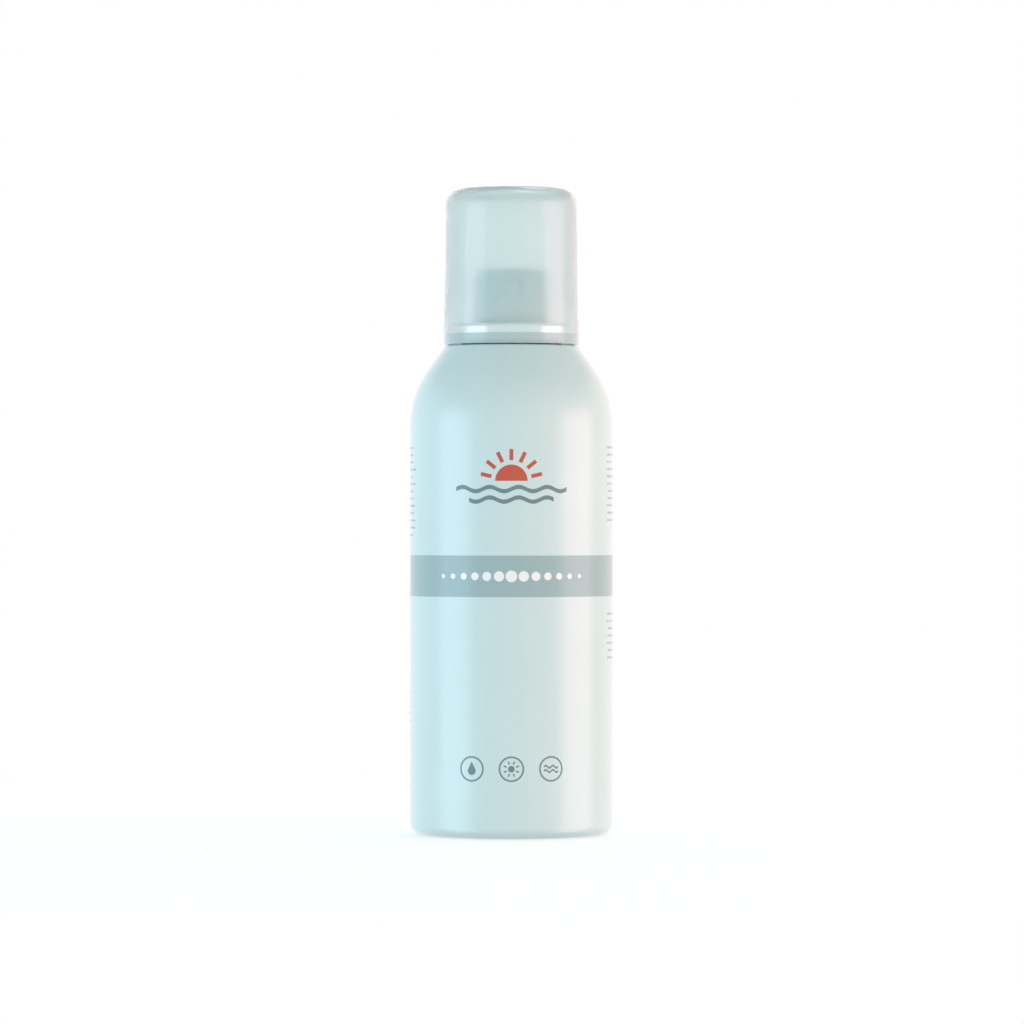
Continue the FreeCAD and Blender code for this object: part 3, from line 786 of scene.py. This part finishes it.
def rules(tree, across, up, block, ruled, gaps):
    # plain ruled lines with ragged ends and gaps
    sideways = calc(tree, "MULTIPLY", across, block["side"])
    rows = calc(tree, "DIVIDE", calc(tree, "SUBTRACT", up, block["low"]), ruled["pitch"])
    row = calc(tree, "FLOOR", rows)
    random = tree.nodes.new("ShaderNodeTexWhiteNoise")
    random.noise_dimensions = "1D"
    tree.links.new(calc(tree, "ADD", row, block["low"] * block["side"]), random.inputs["W"])
    start = calc(tree, "MULTIPLY_ADD", random.outputs["Value"], block["ragged"], block["near"])
    end = calc(tree, "MULTIPLY_ADD", random.outputs["Value"], -ruled["raggedEnd"], block["far"])
    fromRow = calc(tree, "SUBTRACT", calc(tree, "SUBTRACT", rows, row), 0.5)
    line = strip(tree, calc(tree, "MULTIPLY", fromRow, ruled["pitch"]), -ruled["bar"] / 2, ruled["bar"] / 2)
    along = tree.nodes.new("ShaderNodeCombineXYZ")
    tree.links.new(calc(tree, "MULTIPLY", sideways, gaps["along"]), along.inputs["X"])
    tree.links.new(calc(tree, "MULTIPLY", row, gaps["perRow"]), along.inputs["Y"])
    gap = calc(tree, "SUBTRACT", noise(tree, along.outputs[0], 1.0, detail=0.0), gaps["level"])
    shape = calc(tree, "MAXIMUM", line, calc(tree, "MULTIPLY", gap, gaps["slope"]))
    shape = calc(tree, "MAXIMUM", shape, strip(tree, up, block["low"], block["high"]))
    shape = calc(tree, "MAXIMUM", shape, calc(tree, "SUBTRACT", start, sideways))
    return calc(tree, "MAXIMUM", shape, calc(tree, "SUBTRACT", sideways, end))


def printLayers(tree, across, up, form):
    # each ink with its shape, in the order they are laid on
    halfRound = math.pi * canForm["radius"]
    seam = calc(tree, "SUBTRACT", halfRound - form["seamHalf"], calc(tree, "ABSOLUTE", across))
    grey = 1.0
    for line in form["waves"]:
        grey = calc(tree, "MINIMUM", grey, wave(tree, across, up, **line))
    badges = form["badges"]
    pictures = (
        (-badges["pitch"], dropPicture, form["badgeDrop"]),
        (0, sunPicture, form["badgeSun"]),
        (badges["pitch"], wavePicture, form["badgeWaves"]),
    )
    for middle, draw, picture in pictures:
        grey = calc(tree, "MINIMUM", grey, badge(tree, across, up, badges, middle, draw, picture))
    fine = 1.0
    for block in form["rules"]:
        lines = rules(tree, across, up, block, form["ruled"], form["ruleGaps"])
        fine = calc(tree, "MINIMUM", fine, lines)
    return (
        (seam, form["seamInk"]),
        (strip(tree, up, *form["band"]), form["bandInk"]),
        (dotRow(tree, across, up, form["dots"]), form["paleInk"]),
        (fine, form["fineInk"]),
        (grey, form["greyInk"]),
        (risingSun(tree, across, up, form["sun"]), form["warmInk"]),
    )


def printedLacquer(form):
    gloss = {"Metallic": 0.2, "Coat_Weight": 0.3, "Coat_Roughness": 0.16}
    material, tree, shader = newMaterial("printedLacquer", **gloss)
    where = objectPlace(tree)
    split = tree.nodes.new("ShaderNodeSeparateXYZ")
    tree.links.new(where, split.inputs[0])
    toFront = calc(tree, "MULTIPLY", split.outputs["Y"], -1)
    angle = calc(tree, "ARCTAN2", split.outputs["X"], toFront)
    across = calc(tree, "MULTIPLY", angle, canForm["radius"])
    up = split.outputs["Z"]

    finish = form["finish"]
    flake = noise(tree, where, finish["flakeScale"], detail=1.0)
    cloud = noise(tree, where, finish["cloudScale"])
    drift = calc(tree, "MULTIPLY_ADD", flake, finish["flakeShare"], cloud)
    tint = between(tree, drift, *finish["tint"])
    shade = tree.nodes.new("ShaderNodeVectorMath")
    shade.operation = "SCALE"
    shade.inputs[0].default_value = form["lacquer"][:3]
    tree.links.new(tint, shade.inputs["Scale"])

    # darker towards the foot: painted shade where less light comes up from the floor
    heelShade = calc(tree, "MULTIPLY_ADD", up, -1 / form["heelShadeRise"], 1, clamp=True)
    colour = mixColour(tree, heelShade, shade.outputs[0], form["paintedHeelShade"])
    for distance, ink in printLayers(tree, across, up, form):
        # 1 under the ink and 0 outside it, over a soft edge
        cover = calc(tree, "MULTIPLY_ADD", distance, -1 / form["edge"], 0.5, clamp=True)
        colour = mixColour(tree, cover, colour, ink)
    tree.links.new(colour, shader.inputs["Base Color"])
    tree.links.new(between(tree, cloud, *finish["roughness"]), shader.inputs["Roughness"])
    addBump(tree, shader, flake, finish["bump"], finish["bumpDepth"] * mm)
    return material


# Shared finish of the metals and of the moulded plastics. Depths are in millimetres.
metalFinish = {"spread": 0.06, "bump": 0.08, "bumpDepth": 0.03}
plasticFinish = {"driftScale": 0.35, "spread": 0.02, "grainScale": 7.0, "bump": 0.06, "bumpDepth": 0.02}


def brushedMetal(name, colour, roughness, grain):
    # fine turning marks that run round the axis: the noise is stretched along each ring
    spread = metalFinish["spread"]
    material, tree, shader = newMaterial(name, Base_Color=colour, Metallic=1.0)
    where = objectPlace(tree)
    split = tree.nodes.new("ShaderNodeSeparateXYZ")
    tree.links.new(where, split.inputs[0])
    ring = tree.nodes.new("ShaderNodeCombineXYZ")
    tree.links.new(span(tree, split.outputs["X"], split.outputs["Y"]), ring.inputs["X"])
    tree.links.new(split.outputs["Z"], ring.inputs["Y"])
    marks = noise(tree, ring.outputs[0], grain, detail=3.0)
    tree.links.new(between(tree, marks, roughness - spread, roughness + spread), shader.inputs["Roughness"])
    addBump(tree, shader, marks, metalFinish["bump"], metalFinish["bumpDepth"] * mm)
    return material


def mouldedPlastic(name, colour, roughness, **settings):
    # a slight drift in gloss and a fine even grain
    spread = plasticFinish["spread"]
    material, tree, shader = newMaterial(name, Base_Color=colour, **settings)
    where = objectPlace(tree)
    drift = noise(tree, where, plasticFinish["driftScale"])
    tree.links.new(between(tree, drift, roughness - spread, roughness + spread), shader.inputs["Roughness"])
    grain = noise(tree, where, plasticFinish["grainScale"])
    addBump(tree, shader, grain, plasticFinish["bump"], plasticFinish["bumpDepth"] * mm)
    return material


# Cap's plastic, in zones from the foot up: its lower edge; the thick foot with the snap bead, which lets
# less through and is tinted darker as painted shade for the dim gap behind it; a lighter, clearer band
# before the cup's rim, painted light that brightens the rim seen through it; the side in two steps; and the
# top edge, tinted darker as painted shade. What stands close behind the wall is less blurred than the
# button. Heights are above the cap's foot.
frostForm = {
    "datum": capForm["foot"],
    "zones": [
        {"colour": (0.80, 0.98, 0.98, 1), "clear": 0, "coat": 0},
        # painted shade: the foot band is tinted darker for the dim gap behind it, and lets less through as
        # the thick foot does
        {"from": 0.05, "fade": 0.1, "colour": (0.57, 0.75, 0.76, 1), "clear": 0.4, "coat": 1},
        # painted light: a lighter, clearer band that brightens the cup's rim seen through it
        {"from": 2.8, "fade": 0.25, "colour": (0.92, 0.985, 0.985, 1), "clear": 0.97, "coat": 1},
        {"from": 5.5, "fade": 0.2, "colour": (0.845, 0.947, 0.944, 1), "clear": 0.76, "coat": 1},
        {"from": 10.8, "fade": 3.0, "colour": (0.845, 0.947, 0.944, 1), "clear": 0.90, "coat": 1},
        # painted shade: the top edge is tinted darker
        {"from": 38.4, "fade": 0.7, "colour": (0.74, 0.885, 0.88, 1), "clear": 0.90, "coat": 1},
    ],
    "blurLevel": 9.3,
    "blurFade": 3.5,
    "roughness": (0.31, 0.40),
}
frostInsideForm = {
    "datum": frostForm["datum"],
    "zones": [{"colour": (0.845, 0.947, 0.944, 1), "clear": 0.90, "coat": 0}],
    "blurLevel": frostForm["blurLevel"],
    "blurFade": frostForm["blurFade"],
    "roughness": (0.10, 0.26),
}


def rise(tree, value, level, fade):
    # 0 below a level and 1 above it, with a soft change between
    return calc(tree, "MULTIPLY_ADD", calc(tree, "SUBTRACT", value, level), 0.5 / fade, 0.5, clamp=True)


def blend(tree, share, under, over):
    return calc(tree, "MULTIPLY_ADD", share, calc(tree, "SUBTRACT", over, under), under)


def frostedPlastic(name, form):
    material, tree, shader = newMaterial(name, IOR=1.4, Coat_Roughness=0.12, Coat_IOR=1.65)
    split = tree.nodes.new("ShaderNodeSeparateXYZ")
    tree.links.new(objectPlace(tree), split.inputs[0])
    height = calc(tree, "SUBTRACT", split.outputs["Z"], form["datum"])
    lowest = form["zones"][0]
    colour = lowest["colour"]
    clear = lowest["clear"]
    coat = lowest["coat"]
    for zone in form["zones"][1:]:
        above = rise(tree, height, zone["from"], zone["fade"])
        colour = mixColour(tree, above, colour, zone["colour"])
        clear = blend(tree, above, clear, zone["clear"])
        coat = blend(tree, above, coat, zone["coat"])
    feed(tree, colour, shader.inputs["Base Color"])
    feed(tree, clear, shader.inputs["Transmission Weight"])
    feed(tree, coat, shader.inputs["Coat Weight"])
    blur = rise(tree, height, form["blurLevel"], form["blurFade"])
    feed(tree, between(tree, blur, *form["roughness"]), shader.inputs["Roughness"])
    return material


lacquer = printedLacquer(printForm)
bareAluminium = brushedMetal("bareAluminium", (0.76, 0.79, 0.80, 1), roughness=0.3, grain=4.0)
tinplate = brushedMetal("tinplate", (0.95, 0.97, 0.965, 1), roughness=0.16, grain=5.0)
springSteel = brushedMetal("springSteel", (0.62, 0.62, 0.62, 1), roughness=0.25, grain=6.0)
frosted = frostedPlastic("frostedPlastic", frostForm)
frostedInside = frostedPlastic("frostedInside", frostInsideForm)
buttonPlastic = mouldedPlastic(
    "buttonPlastic",
    (0.72, 0.88, 0.89, 1),
    roughness=0.42,
    Subsurface_Weight=0.1,
    Subsurface_Radius=(mm, mm, mm),
)
insertPlastic = mouldedPlastic("insertPlastic", (0.79, 0.95, 0.96, 1), roughness=0.42)
natural = mouldedPlastic(
    "naturalPlastic",
    (0.86, 0.86, 0.82, 1),
    roughness=0.4,
    Transmission_Weight=0.25,
    IOR=1.5,
)
rubber = mouldedPlastic("blackRubber", (0.02, 0.02, 0.021, 1), roughness=0.65)

canPiece.data.materials.append(lacquer)
canPiece.data.materials.append(bareAluminium)
capPiece.data.materials.append(frosted)
capPiece.data.materials.append(frostedInside)
cupPiece.data.materials.append(tinplate)
buttonPiece.data.materials.append(buttonPlastic)
insertPiece.data.materials.append(insertPlastic)
springPiece.data.materials.append(springSteel)
carriedOver = {
    "cup_gasket": rubber,
    "stem_gasket": rubber,
    "valve_housing": natural,
    "valve_stem": natural,
    "dip_tube": natural,
}
for node, material in carriedOver.items():
    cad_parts[node].data.materials.clear()
    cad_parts[node].data.materials.append(material)
print("materials made")


# Stage, in metres: a white floor that keeps the can's shadow, a pale surround, two large side boxes and a
# small back light
stageForm = {
    "floorRadius": 0.32,
    "floorSides": 96,
    "floorDrop": 0.00005,
    "floorGlow": 0.51,
    "floorColour": (0.65, 0.65, 0.65, 1),
    "behindLeft": (1.00, 1.15, 1.29, 1),
    "behindRight": (1.38, 1.14, 1.02, 1),
    "frontLeft": (0.54, 0.775, 0.84, 1),
    "frontRight": (1.11, 0.885, 0.805, 1),
    "above": (0.61, 0.675, 0.69, 1),
    "below": (0.64, 0.66, 0.67, 1),
    "white": (1, 1, 1, 1),
    "fadeSlope": 1.6,
    "fadeStart": -0.5,
    "behindSlope": 4.0,
    "behindStart": -1.2,
    "boxReach": 1.2,
    "boxes": [
        {
            "angle": -67,
            "lift": 0,
            "aim": -0.38,
            "size": (0.88, 1.6),
            "watts": 3.51,
            "colour": (0.75, 0.773, 1.0),
        },
        {
            "angle": 80,
            "lift": 0,
            "aim": -0.38,
            "size": (0.95, 1.6),
            "watts": 5.6,
            "colour": (1.0, 0.535, 0.58),
        },
        {
            "angle": 164,
            "lift": 52,
            "aim": 0.15,
            "size": (0.22, 0.24),
            "watts": 0.6,
            "colour": (1.0, 1.0, 1.0),
        },
    ],
}


def whiteFloor(form):
    # a matt floor with a glow of its own, which leaves the can's shadow faint
    material = bpy.data.materials.new("whiteFloor")
    material.use_nodes = True
    tree = material.node_tree
    tree.nodes.remove(tree.nodes["Principled BSDF"])
    glow = tree.nodes.new("ShaderNodeEmission")
    glow.inputs["Strength"].default_value = form["floorGlow"]
    matt = tree.nodes.new("ShaderNodeBsdfDiffuse")
    matt.inputs["Color"].default_value = form["floorColour"]
    both = tree.nodes.new("ShaderNodeAddShader")
    tree.links.new(glow.outputs[0], both.inputs[0])
    tree.links.new(matt.outputs[0], both.inputs[1])
    # the camera looks through it from below, so that the can's base can be seen
    seen = tree.nodes.new("ShaderNodeLightPath").outputs["Is Camera Ray"]
    under = tree.nodes.new("ShaderNodeNewGeometry").outputs["Backfacing"]
    through = tree.nodes.new("ShaderNodeMixShader")
    tree.links.new(calc(tree, "MULTIPLY", seen, under), through.inputs[0])
    tree.links.new(both.outputs[0], through.inputs[1])
    tree.links.new(tree.nodes.new("ShaderNodeBsdfTransparent").outputs[0], through.inputs[2])
    tree.links.new(through.outputs[0], tree.nodes["Material Output"].inputs["Surface"])
    return material


def buildFloor(form):
    bm = bmesh.new()
    bmesh.ops.create_circle(
        bm,
        cap_ends=True,
        segments=form["floorSides"],
        radius=form["floorRadius"],
        matrix=Matrix.Translation((0, 0, -form["floorDrop"])),
    )
    floor = finishPiece(bm, "floor")
    floor.data.materials.append(whiteFloor(form))
    # glossy rays pass, so that the can mirrors the pale surround and the boxes down to its foot
    floor.visible_glossy = False


def buildSurround(form):
    # palest behind the can and dimmer elsewhere; the camera sees plain white, also through the cap
    world = bpy.data.worlds.new("paleSurround")
    bpy.context.scene.world = world
    world.use_nodes = True
    tree = world.node_tree
    way = tree.nodes.new("ShaderNodeSeparateXYZ")
    tree.links.new(tree.nodes.new("ShaderNodeTexCoord").outputs["Generated"], way.inputs[0])
    height = way.outputs["Z"]
    facing = calc(tree, "MULTIPLY_ADD", way.outputs["Y"], 0.5, 0.5)  # 0 on the camera's side, 1 behind
    sideways = calc(tree, "MULTIPLY_ADD", way.outputs["X"], 0.5, 0.5)  # 0 on the left, 1 on the right
    lifted = calc(tree, "MULTIPLY_ADD", height, form["fadeSlope"], form["fadeStart"], clamp=True)
    lowered = calc(tree, "MULTIPLY_ADD", height, -form["fadeSlope"], form["fadeStart"], clamp=True)
    raised = calc(tree, "MULTIPLY_ADD", height, form["behindSlope"], form["behindStart"], clamp=True)
    behind = mixColour(tree, sideways, form["behindLeft"], form["behindRight"])
    behind = mixColour(tree, raised, behind, form["above"])
    front = mixColour(tree, sideways, form["frontLeft"], form["frontRight"])
    colour = mixColour(tree, facing, front, behind)
    colour = mixColour(tree, lifted, colour, form["above"])
    colour = mixColour(tree, lowered, colour, form["below"])
    path = tree.nodes.new("ShaderNodeLightPath")
    seen = calc(tree, "MAXIMUM", path.outputs["Is Camera Ray"], path.outputs["Is Transmission Ray"])
    colour = mixColour(tree, seen, colour, form["white"])
    tree.links.new(colour, tree.nodes["Background"].inputs["Color"])


def buildBox(form, reach):
    # an area lamp that faces a point on the can's axis, at an angle from the camera's side and a lift
    lamp = bpy.data.lights.new("softbox", "AREA")
    lamp.shape = "RECTANGLE"
    lamp.size, lamp.size_y = form["size"]
    lamp.energy = form["watts"]
    lamp.color = form["colour"]
    box = bpy.data.objects.new("softbox", lamp)
    angle = math.radians(form["angle"])
    lift = math.radians(form["lift"])
    away = Vector((math.sin(angle) * math.cos(lift), -math.cos(angle) * math.cos(lift), math.sin(lift)))
    box.location = Vector((0, 0, form["aim"])) + away * reach
    box.rotation_mode = "QUATERNION"
    box.rotation_quaternion = away.to_track_quat("Z", "Y")
    bpy.context.collection.objects.link(box)


buildFloor(stageForm)
buildSurround(stageForm)
for softbox in stageForm["boxes"]:
    buildBox(softbox, stageForm["boxReach"])

# Camera: level, as high as the middle of the can, far off through a long lens; its place is in metres
cameraForm = {"distance": 1.465, "height": 0.0844, "lens": 196.8, "sensor": 36.0, "shift": 0.0006}
lens = bpy.data.cameras.new("photoCamera")
lens.lens = cameraForm["lens"]
lens.sensor_width = cameraForm["sensor"]
lens.shift_x = cameraForm["shift"]
camera = bpy.data.objects.new("photoCamera", lens)
camera.location = (0, -cameraForm["distance"], cameraForm["height"])
camera.rotation_euler = (math.pi / 2, 0, 0)
bpy.context.collection.objects.link(camera)
bpy.context.scene.camera = camera
bpy.context.scene.view_settings.view_transform = "Standard"
print("stage set")
